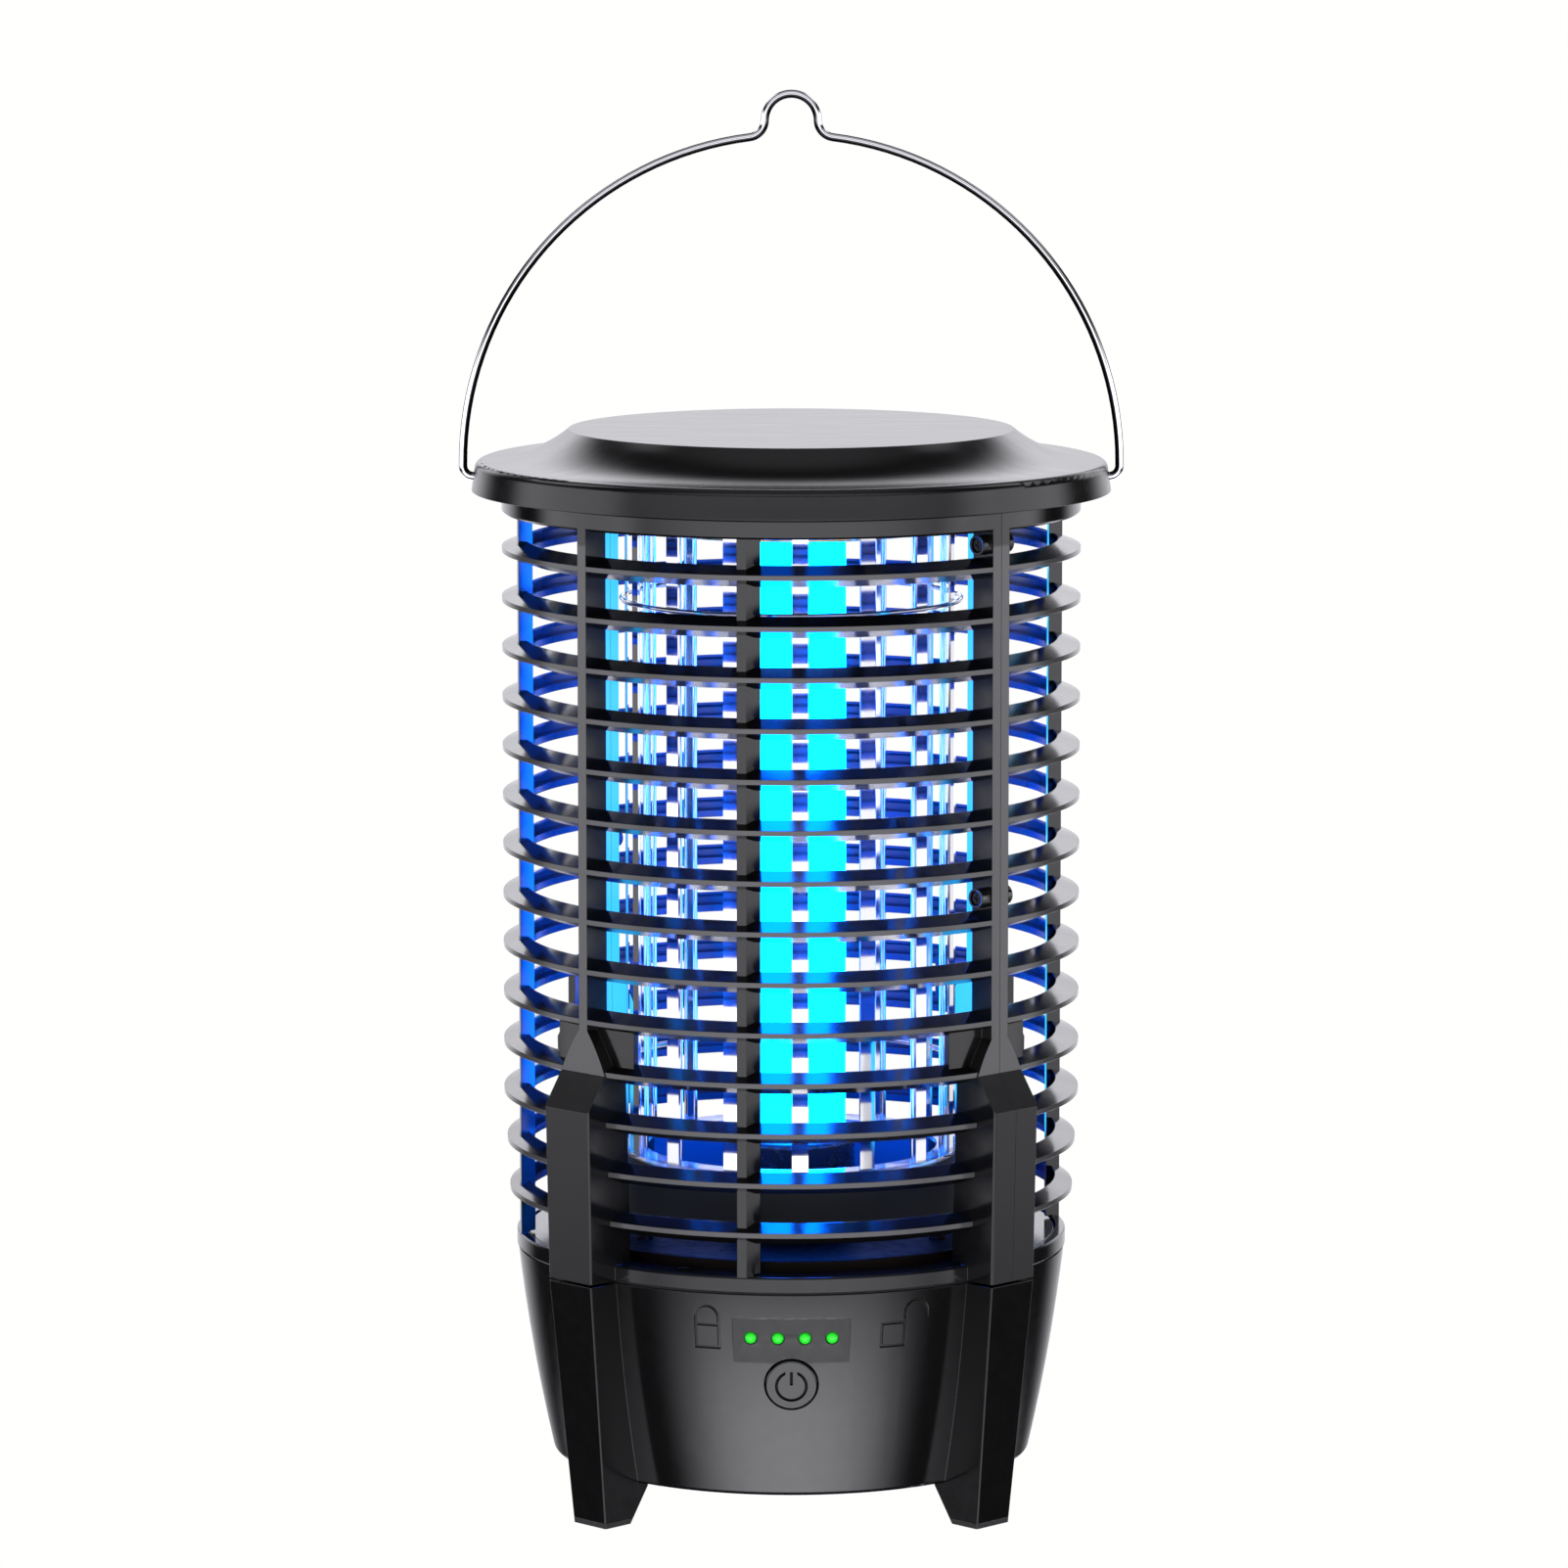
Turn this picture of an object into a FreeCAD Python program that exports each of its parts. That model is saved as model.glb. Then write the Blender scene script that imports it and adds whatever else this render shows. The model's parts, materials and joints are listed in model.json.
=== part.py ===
"""Rechargeable lantern bug zapper: base, twist-off cage, lid, wire handle, lamp and electric grid.

Millimetres. Origin on the floor plane at the vertical axis, +Z up, the front panel faces -Y.
An azimuth is measured from the front (-Y), positive towards +X.
"""
import FreeCAD
import Part
import math
import os

V = FreeCAD.Vector
ORIGIN = V(0, 0, 0)
UP = V(0, 0, 1)

# ---- driving dimensions -------------------------------------------------------------------
LID_R = 75.0                 # outer radius at the lid's lower edge
LID_DISC_R = 52.2            # flat top of the lid
LID_TOP_Z = 252.2
LID_RIM_Z = 243.3            # top of the skirt
LID_SKIRT_Z = 237.95         # lower edge of the skirt
LID_WALL = 2.0

COLLAR_R = 68.0              # outer radius of collar, louvres and leg ribs
THIN_RIB_R = 64.9            # outer radius of the recessed ribs and webs
THIN_RIB_INNER_R = 61.2
WEB_T = 2.0
LOUVRE_INNER_R = 62.6
EDGE_T = 1.15                # outer edge face of a louvre
LOUVRE_RISE = 1.75           # how far the sloped top climbs inwards
LOUVRE_DROP = 2.0            # how far the sloped underside falls inwards
LIP_T = 0.6
CHANNEL_R = 65.6             # back wall of the channel in a louvre's inner side
CHANNEL_Z = (-0.35, 1.35)    # channel floor, and its roof at the back wall, above the edge's foot
RING_COUNT = 14
RING_PITCH = 11.67
RING_LOW_Z = 71.9            # foot of the lowest louvre's outer edge
LOW_LOUVRE_R = (66.7, 67.3)  # the two lowest louvres are a little smaller
COLLAR_LOW_Z = 232.9
COLLAR_TOP_Z = 237.0

BAND_R = 65.1                # bottom band of the cage
BAND_INNER_R = 62.9
BAND_TOP_Z = 62.4
CAGE_LOW_Z = 58.9
SEAM_Z = 58.2                # top of the base housing

RIB_DEPTH = 6.4
LEG_RIB_W = 2.7
THIN_RIB_Y = (36.2, 38.0)    # sides of the two recessed ribs of a half, along the mould's width
MOULD_GAP = 0.05             # half the gap between the two mouldings
BOSS_R = 2.3
BOSS_HALF = 5.0
BOSS_Z = (148.1, 229.75)
BOSS_RADIUS_POS = 64.9

LEG_OUT_TOP_R = 73.4
LEG_OUT_SEAM_R = 72.5
LEG_HALF_W = 7.2
LEG_SEAM_HALF_W = 7.05
LEG_SHOULDER_Z = 99.2
GUSSET_WIDE_Z = 107.2
GUSSET_TOP_Z = 117.2
FOOT_OUT_R = 66.4
FOOT_IN_R = 58.4
FOOT_HALF_W = 5.4
FOOT_INNER_TOP_R = 52.4
PAD_T = 1.2
WEB_HALF_DEG = 11.0

BASE_LOW_Z = 9.2
BASE_TOP_R = 64.8
BASE_MID_R = 61.45           # at BASE_MID_Z
BASE_MID_Z = 34.5
BASE_LOW_R = 56.4
BASE_WALL = 2.2
COVER_R = 53.2
COVER_T = 2.2

SPIGOT_R = 60.2
SPIGOT_INNER_R = 56.2
TAB_R = 62.3
TAB_Z = (60.7, 62.1)
LUG_Z = (59.2, 60.4)
LUG_INNER_R = 60.5
LUG_HALF_DEG = 5.0
TWIST_DEG = 40.0
NOTCH_HALF_DEG = 7.0
DECK_T = 1.5

TUBE_R = 12.9
TUBE_WALL = 1.0
TUBE_LOW_Z = 79.2
TUBE_TOP_Z = 228.2
SOCKET_R = 15.0
SOCKET_TOP_Z = 84.1
UV_ROWS = 12
UV_PITCH = 11.67

GRID_R = 38.8
BAR_COUNT = 15
BAR_FIRST_AZ = 3.0
BAR_W = 3.8
BAR_T = 0.6
WIRE_R = 0.5
WIRE_CIRCLE_R = 36.6
GRID_LOW_Z = 82.0
GRID_TOP_Z = 230.6
HOOP_LEVELS = (101.3, 212.3)
POST_AZ = (-108.0, -72.0, 72.0, 108.0)
POST_CIRCLE_R = 36.2
BASE_RING_R = (34.6, 40.0)   # inner and outer radius of the clear ring under the bars
SKIRT_R = 39.5               # insulating skirt hanging below the grid's base ring
SKIRT_WALL = 1.4
SKIRT_LOW_Z = 66.0

BAIL_WIRE_R = 1.0
BAIL_R = 77.0
BAIL_CENTRE_Z = 243.8
PIVOT_Z = 240.9
BAIL_BEND_R = 2.4
HUMP_R = 6.2
HUMP_TOP_Z = 330.3
HUMP_NECK_R = 4.0
BAIL_END_X = 69.6

PANEL_TILT = 8.6             # degrees the front panel leans under itself
BUTTON_R = 6.0
BUTTON_Z = 36.8
LED_Z = 47.9
LED_PITCH = 6.25
LED_R = 1.45
LOCK_Z = 50.2
LOCK_CLOSED_AZ = -17.8
LOCK_OPEN_AZ = 21.7
SYMBOL_DEPTH = 0.6
LEDGE_Z = 52.4               # shallow step above the lamps, fading out downwards
LEDGE_DEPTH = 0.25
LEDGE_FADE_Z = 42.0
LEDGE_HALF_DEG = 12.3

CELL_R = 9.2
CELL_L = 65.0
CELL_Z = 24.0
CELL_Y = (8.5, 28.0)
BOARD_Z = 36.5
BOARD_T = 1.6
PORT_Z = 40.0

# ---- dimensions of fixings and repeated parts ----------------------------------------------
LED_XS = [LED_PITCH * (i - 1.5) for i in range(4)]
PORT_FLOOR_Y = 60.3
FLAP_W, FLAP_H, FLAP_T = 15.0, 8.0, 1.5
FLAP_GAP = 0.35
LEG_AZ = (-45, 45, 135, -135)
DECK_SCREW_R = 59.0
DECK_SCREW_AZ = (-25, 65, 155, -115)
COVER_SCREW_R = 48.6
COVER_SCREW_AZ = (-90, 0, 90, 180)
LUG_AZ = (-90, 0, 90, 180)
BAR_AZ = [BAR_FIRST_AZ + 360.0 * i / BAR_COUNT for i in range(BAR_COUNT)]
PILLAR_XY = [(sx * 41.0, sy * 29.0) for sx in (-1, 1) for sy in (-1, 1)]
COVER_TOP_Z = BASE_LOW_Z + COVER_T
INDICATOR_BACK = -13.5       # back of the indicator board behind the panel surface
INDICATOR_T = 1.6
HALF_TURNS = {"left": -135.0, "right": 45.0}
TOP_SCREW_R = 64.4
LID_SCREW_R = 50.0
TOP_SCREW_AZ = (-90, 0, 90, 180)
LID_SCREW_AZ = (-45, 45, 135, -135)
TOP_PLATE_R = 67.2
TOP_PLATE_T = 2.0


# ---- helpers ------------------------------------------------------------------------------
def box(x0, y0, z0, x1, y1, z1):
    return Part.makeBox(x1 - x0, y1 - y0, z1 - z0, V(x0, y0, z0))


def rod(r, start, end):
    along = end - start
    return Part.makeCylinder(r, along.Length, start, along)


def tube(r_out, r_in, z0, z1):
    outer = Part.makeCylinder(r_out, z1 - z0, V(0, 0, z0))
    return outer.cut(Part.makeCylinder(r_in, z1 - z0 + 2, V(0, 0, z0 - 1)))


def turned(shape, degrees):
    return shape.rotated(ORIGIN, UP, degrees)


def at_azimuth(shape, azimuth):
    """Turn a shape built with its radial direction along +X to an azimuth."""
    return turned(shape, azimuth - 90)


def outline(points):
    """Closed wire of (a, b) points in the XZ plane; ("arc", mid, end) adds an arc."""
    edges = []
    first = V(points[0][0], 0, points[0][1])
    last = first
    for item in list(points[1:]) + [points[0]]:
        if item[0] == "arc":
            mid = V(item[1][0], 0, item[1][1])
            end = V(item[2][0], 0, item[2][1])
            edges.append(Part.Arc(last, mid, end).toShape())
        else:
            end = V(item[0], 0, item[1])
            if (end - last).Length < 1e-6:
                continue
            edges.append(Part.LineSegment(last, end).toShape())
        last = end
    return Part.Wire(edges)


def revolved(points, degrees=360.0, start=0.0):
    """Solid of revolution about Z of a closed (radius, z) outline."""
    solid = Part.Face(outline(points)).revolve(ORIGIN, UP, degrees)
    return turned(solid, start)


def plate_xz(points, half_width):
    """Prism with an outline in the XZ plane and a width along Y."""
    face = Part.Face(outline(points))
    face.translate(V(0, -half_width, 0))
    return face.extrude(V(0, 2 * half_width, 0))


def plate_yz(points, x0, x1):
    """Prism with an outline in the YZ plane and a depth along X."""
    face = Part.Face(outline(points)).rotated(ORIGIN, UP, 90)
    face.translate(V(x0, 0, 0))
    return face.extrude(V(x1 - x0, 0, 0))


def union(shapes):
    return shapes[0].fuse(shapes[1:]).removeSplitter()


def around(shape, azimuths):
    return [at_azimuth(shape, azimuth) for azimuth in azimuths]


def screw(head_r, head_h, shank_r, length):
    """Cross-head screw hanging down from z = 0: the head above, the shank below."""
    head = Part.makeCylinder(head_r, head_h)
    head = head.makeFillet(head_h * 0.35, [head.Edges[0]])
    slot = box(-head_r * 0.6, -0.25, head_h * 0.45, head_r * 0.6, 0.25, head_h + 1)
    cross = slot.fuse(slot.rotated(ORIGIN, UP, 90))
    shank = Part.makeCylinder(shank_r, length, V(0, 0, -length))
    return head.fuse(shank).removeSplitter().cut(cross)


def swept(points, bends, radius):
    """Round wire along straight runs joined by tangent arcs of the given bend radii."""
    edges = []
    last = points[0]
    for before, corner, after, bend in zip(points, points[1:], points[2:], bends):
        into = (corner - before).normalize()
        out = (after - corner).normalize()
        turn = into.getAngle(out)
        reach = bend * math.tan(turn / 2)
        start = corner - into * reach
        end = corner + out * reach
        inward = (out - into).normalize()
        centre = corner + inward * (bend / math.cos(turn / 2))
        edges.append(Part.LineSegment(last, start).toShape())
        edges.append(Part.Arc(start, centre - inward * bend, end).toShape())
        last = end
    edges.append(Part.LineSegment(last, points[-1]).toShape())
    return pipe(edges, radius)


def pipe(edges, radius):
    path = Part.Wire(edges)
    start = edges[0].valueAt(edges[0].FirstParameter)
    direction = edges[0].tangentAt(edges[0].FirstParameter)
    circle = Part.Wire([Part.makeCircle(radius, start, direction)])
    return path.makePipeShell([circle], True, True)


def base_outline_radius(z):
    """Outer radius of the base housing at a height, from the arc through its three points."""
    (x1, z1), (x2, z2), (x3, z3) = (
        (BASE_TOP_R, SEAM_Z), (BASE_MID_R, BASE_MID_Z), (BASE_LOW_R, BASE_LOW_Z))
    d = 2 * (x1 * (z2 - z3) + x2 * (z3 - z1) + x3 * (z1 - z2))
    s1, s2, s3 = x1 * x1 + z1 * z1, x2 * x2 + z2 * z2, x3 * x3 + z3 * z3
    cx = (s1 * (z2 - z3) + s2 * (z3 - z1) + s3 * (z1 - z2)) / d
    cz = (s1 * (x3 - x2) + s2 * (x1 - x3) + s3 * (x2 - x1)) / d
    r = math.hypot(x1 - cx, z1 - cz)
    side = 1 if x2 > cx else -1
    return cx + side * math.sqrt(r * r - (z - cz) ** 2)


# ---- base housing and its legs ------------------------------------------------------------
def housing_body(inset):
    """Solid of the conical base, set in by a wall thickness."""
    corner = 1.2
    low = BASE_LOW_Z if inset == 0 else BASE_LOW_Z - 1
    top = SEAM_Z if inset == 0 else SEAM_Z - BASE_WALL
    mid_z = BASE_MID_Z
    points = [(0, low), (base_outline_radius(BASE_LOW_Z) - inset - corner, low)]
    if inset == 0:
        knee = low + corner
        points.append(("arc", (base_outline_radius(knee) - 0.35 * corner, low + 0.3 * corner),
                       (base_outline_radius(knee), knee)))
    else:
        points.append((base_outline_radius(BASE_LOW_Z) - inset, BASE_LOW_Z + corner))
    points.append(("arc", (base_outline_radius(mid_z) - inset, mid_z),
                   (base_outline_radius(top) - inset, top)))
    points.append((0, top))
    return revolved(points)


def lower_leg():
    """One leg of the base, radial direction +X, down to the floor."""
    side = plate_xz([(48, BASE_LOW_Z + 6), (FOOT_INNER_TOP_R, BASE_LOW_Z), (FOOT_IN_R, 0),
                     (FOOT_OUT_R, 0), (LEG_OUT_SEAM_R, SEAM_Z), (48, SEAM_Z)], 10)
    front = plate_yz([(-FOOT_HALF_W, 0), (FOOT_HALF_W, 0), (LEG_SEAM_HALF_W, SEAM_Z),
                      (-LEG_SEAM_HALF_W, SEAM_Z)], 40, 90)
    leg = side.common(front)
    outer_edges = [e for e in leg.Edges if all(v.X > FOOT_OUT_R - 0.1 for v in e.Vertexes)
                   and abs(e.Vertexes[0].Z - e.Vertexes[1].Z) > 5]
    return leg.makeFillet(0.5, outer_edges)


def padlock(is_open):
    """Strokes of a generic padlock symbol as a prism along X, centred on the X axis."""
    stroke = 0.6
    half = 3.1
    body_low, body_high = -5.3, 0.8
    leg_top = 2.3
    body = box(-3, -half, body_low, 3, half, body_high)
    body = body.cut(box(-4, -half + stroke, body_low + stroke, 4, half - stroke,
                        body_high - stroke))
    bow = x_disc(half, -3, 3).cut(x_disc(half - stroke, -4, 4)).common(box(-3, -9, 0, 3, 9, 9))
    bow.translate(V(0, 0, leg_top))
    legs = [box(-3, side * half - stroke * (side > 0), body_high, 3,
                side * half + stroke * (side < 0), leg_top) for side in (-1, 1)]
    shackle = union([bow] + legs)
    if is_open:
        shackle.translate(V(0, 2 * half - stroke, 0.6))
    return body.fuse(shackle)


def engraved(symbol, azimuth, z, depth):
    """What a symbol built along +X takes out of the conical base, to an even depth."""
    symbol = symbol.rotated(ORIGIN, V(0, 1, 0), PANEL_TILT)
    symbol.translate(V(base_outline_radius(z), 0, z))
    return at_azimuth(symbol, azimuth).cut(housing_body(depth))


def panel_place(shape, x, z):
    """Put a shape built along +X (outward, x = 0 on the surface) on the leaning front panel."""
    radius = base_outline_radius(z)
    reach = math.sqrt(radius * radius - x * x)
    leaning = shape.rotated(ORIGIN, V(0, 1, 0), PANEL_TILT)
    facing = turned(leaning, -90)
    return facing.translated(V(x, -reach, z))


def x_disc(r, x0, x1):
    return Part.makeCylinder(r, x1 - x0, V(x0, 0, 0), V(1, 0, 0))


def make_base_housing():
    shell = housing_body(0)
    legs = [leg.cut(box(-99, -99, -1, 99, 99, PAD_T)) for leg in around(lower_leg(), LEG_AZ)]
    solid = shell.fuse(legs)
    port_pad = box(-11, 54, PORT_Z - 7, 11, PORT_FLOOR_Y, PORT_Z + 7)
    cavity = housing_body(BASE_WALL).cut(port_pad)
    solid = solid.cut(cavity)
    rim_hole = Part.makeCylinder(57.5, 10, V(0, 0, SEAM_Z - 5))
    solid = solid.cut(rim_hole)
    ledge = revolved([(base_outline_radius(LEDGE_Z) - LEDGE_DEPTH, LEDGE_Z), (70, LEDGE_Z),
                      (70, LEDGE_FADE_Z), (base_outline_radius(LEDGE_FADE_Z), LEDGE_FADE_Z)],
                     2 * LEDGE_HALF_DEG, -90 - LEDGE_HALF_DEG)
    cuts = [ledge]
    cuts.append(panel_place(x_disc(BUTTON_R + 0.3, -9, 6), 0, BUTTON_Z))
    for x in LED_XS:
        cuts.append(panel_place(x_disc(LED_R + 0.1, -9, 6), x, LED_Z))
    for azimuth, is_open in ((LOCK_CLOSED_AZ, False), (LOCK_OPEN_AZ, True)):
        cuts.append(engraved(padlock(is_open), azimuth, LOCK_Z, SYMBOL_DEPTH))
    cuts.append(box(-FLAP_W / 2 - FLAP_GAP, PORT_FLOOR_Y, PORT_Z - FLAP_H / 2 - FLAP_GAP,
                    FLAP_W / 2 + FLAP_GAP, 70, PORT_Z + FLAP_H / 2 + FLAP_GAP))
    cuts.append(box(-4.8, 50, PORT_Z - 1.9, 4.8, 70, PORT_Z + 1.9))
    for hole in around(Part.makeCylinder(1.1, 8, V(DECK_SCREW_R, 0, SEAM_Z - 6)), DECK_SCREW_AZ):
        cuts.append(hole)
    boss = Part.makeCylinder(3.2, 12, V(COVER_SCREW_R, 0, BASE_LOW_Z + COVER_T + 0.1))
    web = box(COVER_SCREW_R, -1.0, BASE_LOW_Z + 3, 56, 1.0, BASE_LOW_Z + 14)
    inside = housing_body(BASE_WALL / 2)
    bosses = [b.common(inside) for b in around(boss.fuse(web), COVER_SCREW_AZ)]
    pilot = Part.makeCylinder(1.05, 14, V(COVER_SCREW_R, 0, BASE_LOW_Z))
    cuts.extend(around(pilot, COVER_SCREW_AZ))
    return solid.fuse(bosses).cut(cuts).removeSplitter()


def make_foot_pads():
    pads = [leg.common(box(-99, -99, 0, 99, 99, PAD_T)) for leg in around(lower_leg(), LEG_AZ)]
    return Part.makeCompound(pads)


def make_bottom_cover():
    plate = Part.makeCylinder(COVER_R, COVER_T, V(0, 0, BASE_LOW_Z))
    plate = plate.makeChamfer(0.4, [plate.Edges[2]])
    recess = Part.makeCylinder(2.6, 1.3, V(COVER_SCREW_R, 0, BASE_LOW_Z))
    hole = Part.makeCylinder(1.4, 4, V(COVER_SCREW_R, 0, BASE_LOW_Z - 1))
    return plate.cut(around(recess.fuse(hole), COVER_SCREW_AZ))


def make_cover_screws():
    one = screw(2.3, 1.2, 1.0, 9.0).rotated(ORIGIN, V(1, 0, 0), 180)
    one.translate(V(COVER_SCREW_R, 0, BASE_LOW_Z + 1.3))
    return Part.makeCompound(around(one, COVER_SCREW_AZ))


# ---- deck, tray and seal ------------------------------------------------------------------
def make_deck_plate():
    deck = Part.makeCylinder(SPIGOT_R, DECK_T, V(0, 0, SEAM_Z))
    spigot = tube(SPIGOT_R, SPIGOT_INNER_R, SEAM_Z, TAB_Z[1])
    tabs = tube(TAB_R, SPIGOT_R - 0.5, TAB_Z[0], TAB_Z[1])
    notch = revolved([(SPIGOT_R, TAB_Z[0] - 1), (66, TAB_Z[0] - 1), (66, TAB_Z[1] + 1),
                      (SPIGOT_R, TAB_Z[1] + 1)], 2 * NOTCH_HALF_DEG, -NOTCH_HALF_DEG)
    tabs = tabs.cut(around(notch, [az + TWIST_DEG for az in LUG_AZ]))
    deck = union([deck, spigot, tabs])
    holes = [Part.makeCylinder(4.0, 9, V(0, 0, SEAM_Z - 1))]
    screw_hole = Part.makeCylinder(1.3, 9, V(DECK_SCREW_R, 0, SEAM_Z - 1))
    screw_well = Part.makeCylinder(2.1, 9, V(DECK_SCREW_R, 0, SEAM_Z + DECK_T + 0.2))
    holes.extend(around(screw_hole.fuse(screw_well), DECK_SCREW_AZ))
    return deck.cut(holes)


def make_deck_screws():
    one = screw(1.9, 1.2, 1.0, 6.0)
    one.translate(V(DECK_SCREW_R, 0, SEAM_Z + DECK_T + 0.2))
    return Part.makeCompound(around(one, DECK_SCREW_AZ))


def make_seal_ring():
    return tube(64.0, 62.6, SEAM_Z, CAGE_LOW_Z - 0.1)


def make_catch_tray():
    floor_z = SEAM_Z + DECK_T
    dish = revolved([(SOCKET_R + 0.3, floor_z), (SPIGOT_INNER_R - 0.3, floor_z),
                     (SPIGOT_INNER_R - 0.3, floor_z + 4.6), (SPIGOT_INNER_R - 1.5, floor_z + 4.6),
                     ("arc", (SPIGOT_INNER_R - 2.1, floor_z + 1.9), (SPIGOT_INNER_R - 4, floor_z + 1.2)),
                     (SOCKET_R + 3.5, floor_z + 1.2),
                     ("arc", (SOCKET_R + 1.9, floor_z + 2.0), (SOCKET_R + 1.5, floor_z + 4.6)),
                     (SOCKET_R + 0.3, floor_z + 4.6)])
    holes = around(Part.makeCylinder(2.0, 9, V(POST_CIRCLE_R, 0, floor_z - 1)), POST_AZ)
    return dish.cut(holes)


# ---- grid ---------------------------------------------------------------------------------
def make_grid_posts():
    low = SEAM_Z + DECK_T
    post = union([Part.makeCylinder(1.7, GRID_LOW_Z - 1 - low, V(POST_CIRCLE_R, 0, low)),
                  Part.makeCylinder(2.2, 1.2, V(POST_CIRCLE_R, 0, low + 4.6))])
    return Part.makeCompound(around(post, POST_AZ))


def make_grid_skirt():
    return tube(SKIRT_R, SKIRT_R - SKIRT_WALL, SKIRT_LOW_Z, GRID_LOW_Z - 1)


def make_grid_base_ring():
    return tube(BASE_RING_R[1], BASE_RING_R[0], GRID_LOW_Z - 1, GRID_LOW_Z)


def make_grid_bars():
    bar = box(GRID_R - BAR_T / 2, -BAR_W / 2, GRID_LOW_Z, GRID_R + BAR_T / 2, BAR_W / 2, GRID_TOP_Z)
    return Part.makeCompound(around(bar, BAR_AZ))


def make_grid_wires():
    wire = Part.makeCylinder(WIRE_R, GRID_TOP_Z - GRID_LOW_Z, V(WIRE_CIRCLE_R, 0, GRID_LOW_Z))
    return Part.makeCompound(around(wire, BAR_AZ))


def make_grid_hoops():
    hoops = []
    for z in HOOP_LEVELS:
        hoops.append(Part.makeTorus(GRID_R + BAR_T / 2 + 0.75, 0.6, V(0, 0, z)))
    return Part.makeCompound(hoops)


def make_hv_ring():
    return Part.makeTorus(WIRE_CIRCLE_R - WIRE_R - 0.55, 0.5, V(0, 0, GRID_TOP_Z - 1.2))


def make_grid_top_plate():
    plate = Part.makeCylinder(41.5, 2.0, V(0, 0, GRID_TOP_Z))
    plate = plate.makeChamfer(0.5, [plate.Edges[0]])
    vents = [at_azimuth(Part.makeCylinder(4.0, 4, V(25, 0, GRID_TOP_Z - 1)), az)
             for az in range(0, 360, 60)]
    return plate.cut(vents)


# ---- lamp ---------------------------------------------------------------------------------
def make_lamp_socket():
    low = SEAM_Z + DECK_T
    body = revolved([(0, low), (SOCKET_R, low), (SOCKET_R, SOCKET_TOP_Z - 1.2),
                     ("arc", (SOCKET_R - 0.35, SOCKET_TOP_Z - 0.35), (SOCKET_R - 1.2, SOCKET_TOP_Z)),
                     (0, SOCKET_TOP_Z)])
    well = Part.makeCylinder(TUBE_R + 0.1, 9, V(0, 0, TUBE_LOW_Z))
    duct = Part.makeCylinder(3.0, 40, V(0, 0, low - 1))
    return body.cut([well, duct])


def make_lamp_tube():
    return tube(TUBE_R, TUBE_R - TUBE_WALL, TUBE_LOW_Z, TUBE_TOP_Z)


def make_lamp_led_board():
    return box(-8.0, -0.8, TUBE_LOW_Z, 8.0, 0.8, TUBE_TOP_Z)


def make_uv_leds():
    chips = []
    for i in range(UV_ROWS):
        z = TUBE_LOW_Z + 10 + UV_PITCH * i
        for side in (-1, 1):
            y0, y1 = sorted((side * 0.8, side * 2.2))
            chips.append(box(-1.75, y0, z - 1.4, 1.75, y1, z + 1.4))
    return Part.makeCompound(chips)


def make_lamp_top_cap():
    cap = Part.makeCylinder(TUBE_R + 0.6, GRID_TOP_Z - TUBE_TOP_Z, V(0, 0, TUBE_TOP_Z))
    return cap.makeChamfer(0.5, [cap.Edges[2]])


# ---- electronics in the base --------------------------------------------------------------
def make_battery_cells():
    cells = []
    for y in CELL_Y:
        can = rod(CELL_R, V(-CELL_L / 2, y, CELL_Z), V(CELL_L / 2 - 1.2, y, CELL_Z))
        cap = rod(3.2, V(CELL_L / 2 - 1.2, y, CELL_Z), V(CELL_L / 2, y, CELL_Z))
        cells.append(can.fuse(cap))
    return Part.makeCompound(cells)


def make_battery_holder():
    y0, y1 = CELL_Y[0] - CELL_R - 1.0, CELL_Y[1] + CELL_R - 2.0
    low = COVER_TOP_Z + 0.2
    floor = box(-36.5, y0, low, 36.5, y1, CELL_Z - 2)
    ends = [box(-36.5, y0, low, -34.2, y1, CELL_Z + 9), box(34.2, y0, low, 36.5, y1, CELL_Z + 9)]
    saddles = [rod(CELL_R + 0.15, V(-34.2, y, CELL_Z), V(34.2, y, CELL_Z)) for y in CELL_Y]
    keep = Part.makeCylinder(52.0, 40, V(0, 0, 0))
    return floor.cut(saddles).fuse(ends).removeSplitter().common(keep)


def make_battery_contacts():
    tabs = []
    for y in CELL_Y:
        for x0, x1 in ((-33.9, -33.3), (33.3, 33.9)):
            tabs.append(box(x0, y - 3, CELL_Z - 4, x1, y + 3, BOARD_Z))
    return Part.makeCompound(tabs)


def make_board_pillars():
    pillars = []
    for x, y in PILLAR_XY:
        pillar = Part.makeCylinder(2.8, BOARD_Z - COVER_TOP_Z, V(x, y, COVER_TOP_Z))
        pillars.append(pillar.cut(Part.makeCylinder(1.0, 9, V(x, y, BOARD_Z - 8))))
    return Part.makeCompound(pillars)


def make_main_board():
    board = box(-45, -33, BOARD_Z, 45, 33, BOARD_Z + BOARD_T)
    tongue = box(-8, 33, BOARD_Z, 8, 52, BOARD_Z + BOARD_T)
    holes = [Part.makeCylinder(1.2, 9, V(x, y, BOARD_Z - 2)) for x, y in PILLAR_XY]
    return board.fuse(tongue).removeSplitter().cut(holes)


def make_board_screws():
    screws = []
    for x, y in PILLAR_XY:
        one = screw(2.2, 1.4, 0.9, 6.5)
        one.translate(V(x, y, BOARD_Z + BOARD_T))
        screws.append(one)
    return Part.makeCompound(screws)


def make_board_components():
    top = BOARD_Z + BOARD_T
    chips = [box(-6, -4, top, 3, 5, top + 1.6), box(12, 8, top, 17, 12, top + 1.2),
             box(-24, -14, top, -19, -10, top + 1.2)]
    coil = tube(5.0, 2.0, top, top + 5.0).translated(V(-28, 12, 0))
    can = Part.makeCylinder(4.0, 9.0, V(30, -12, top))
    return Part.makeCompound(chips + [coil, can])


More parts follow.
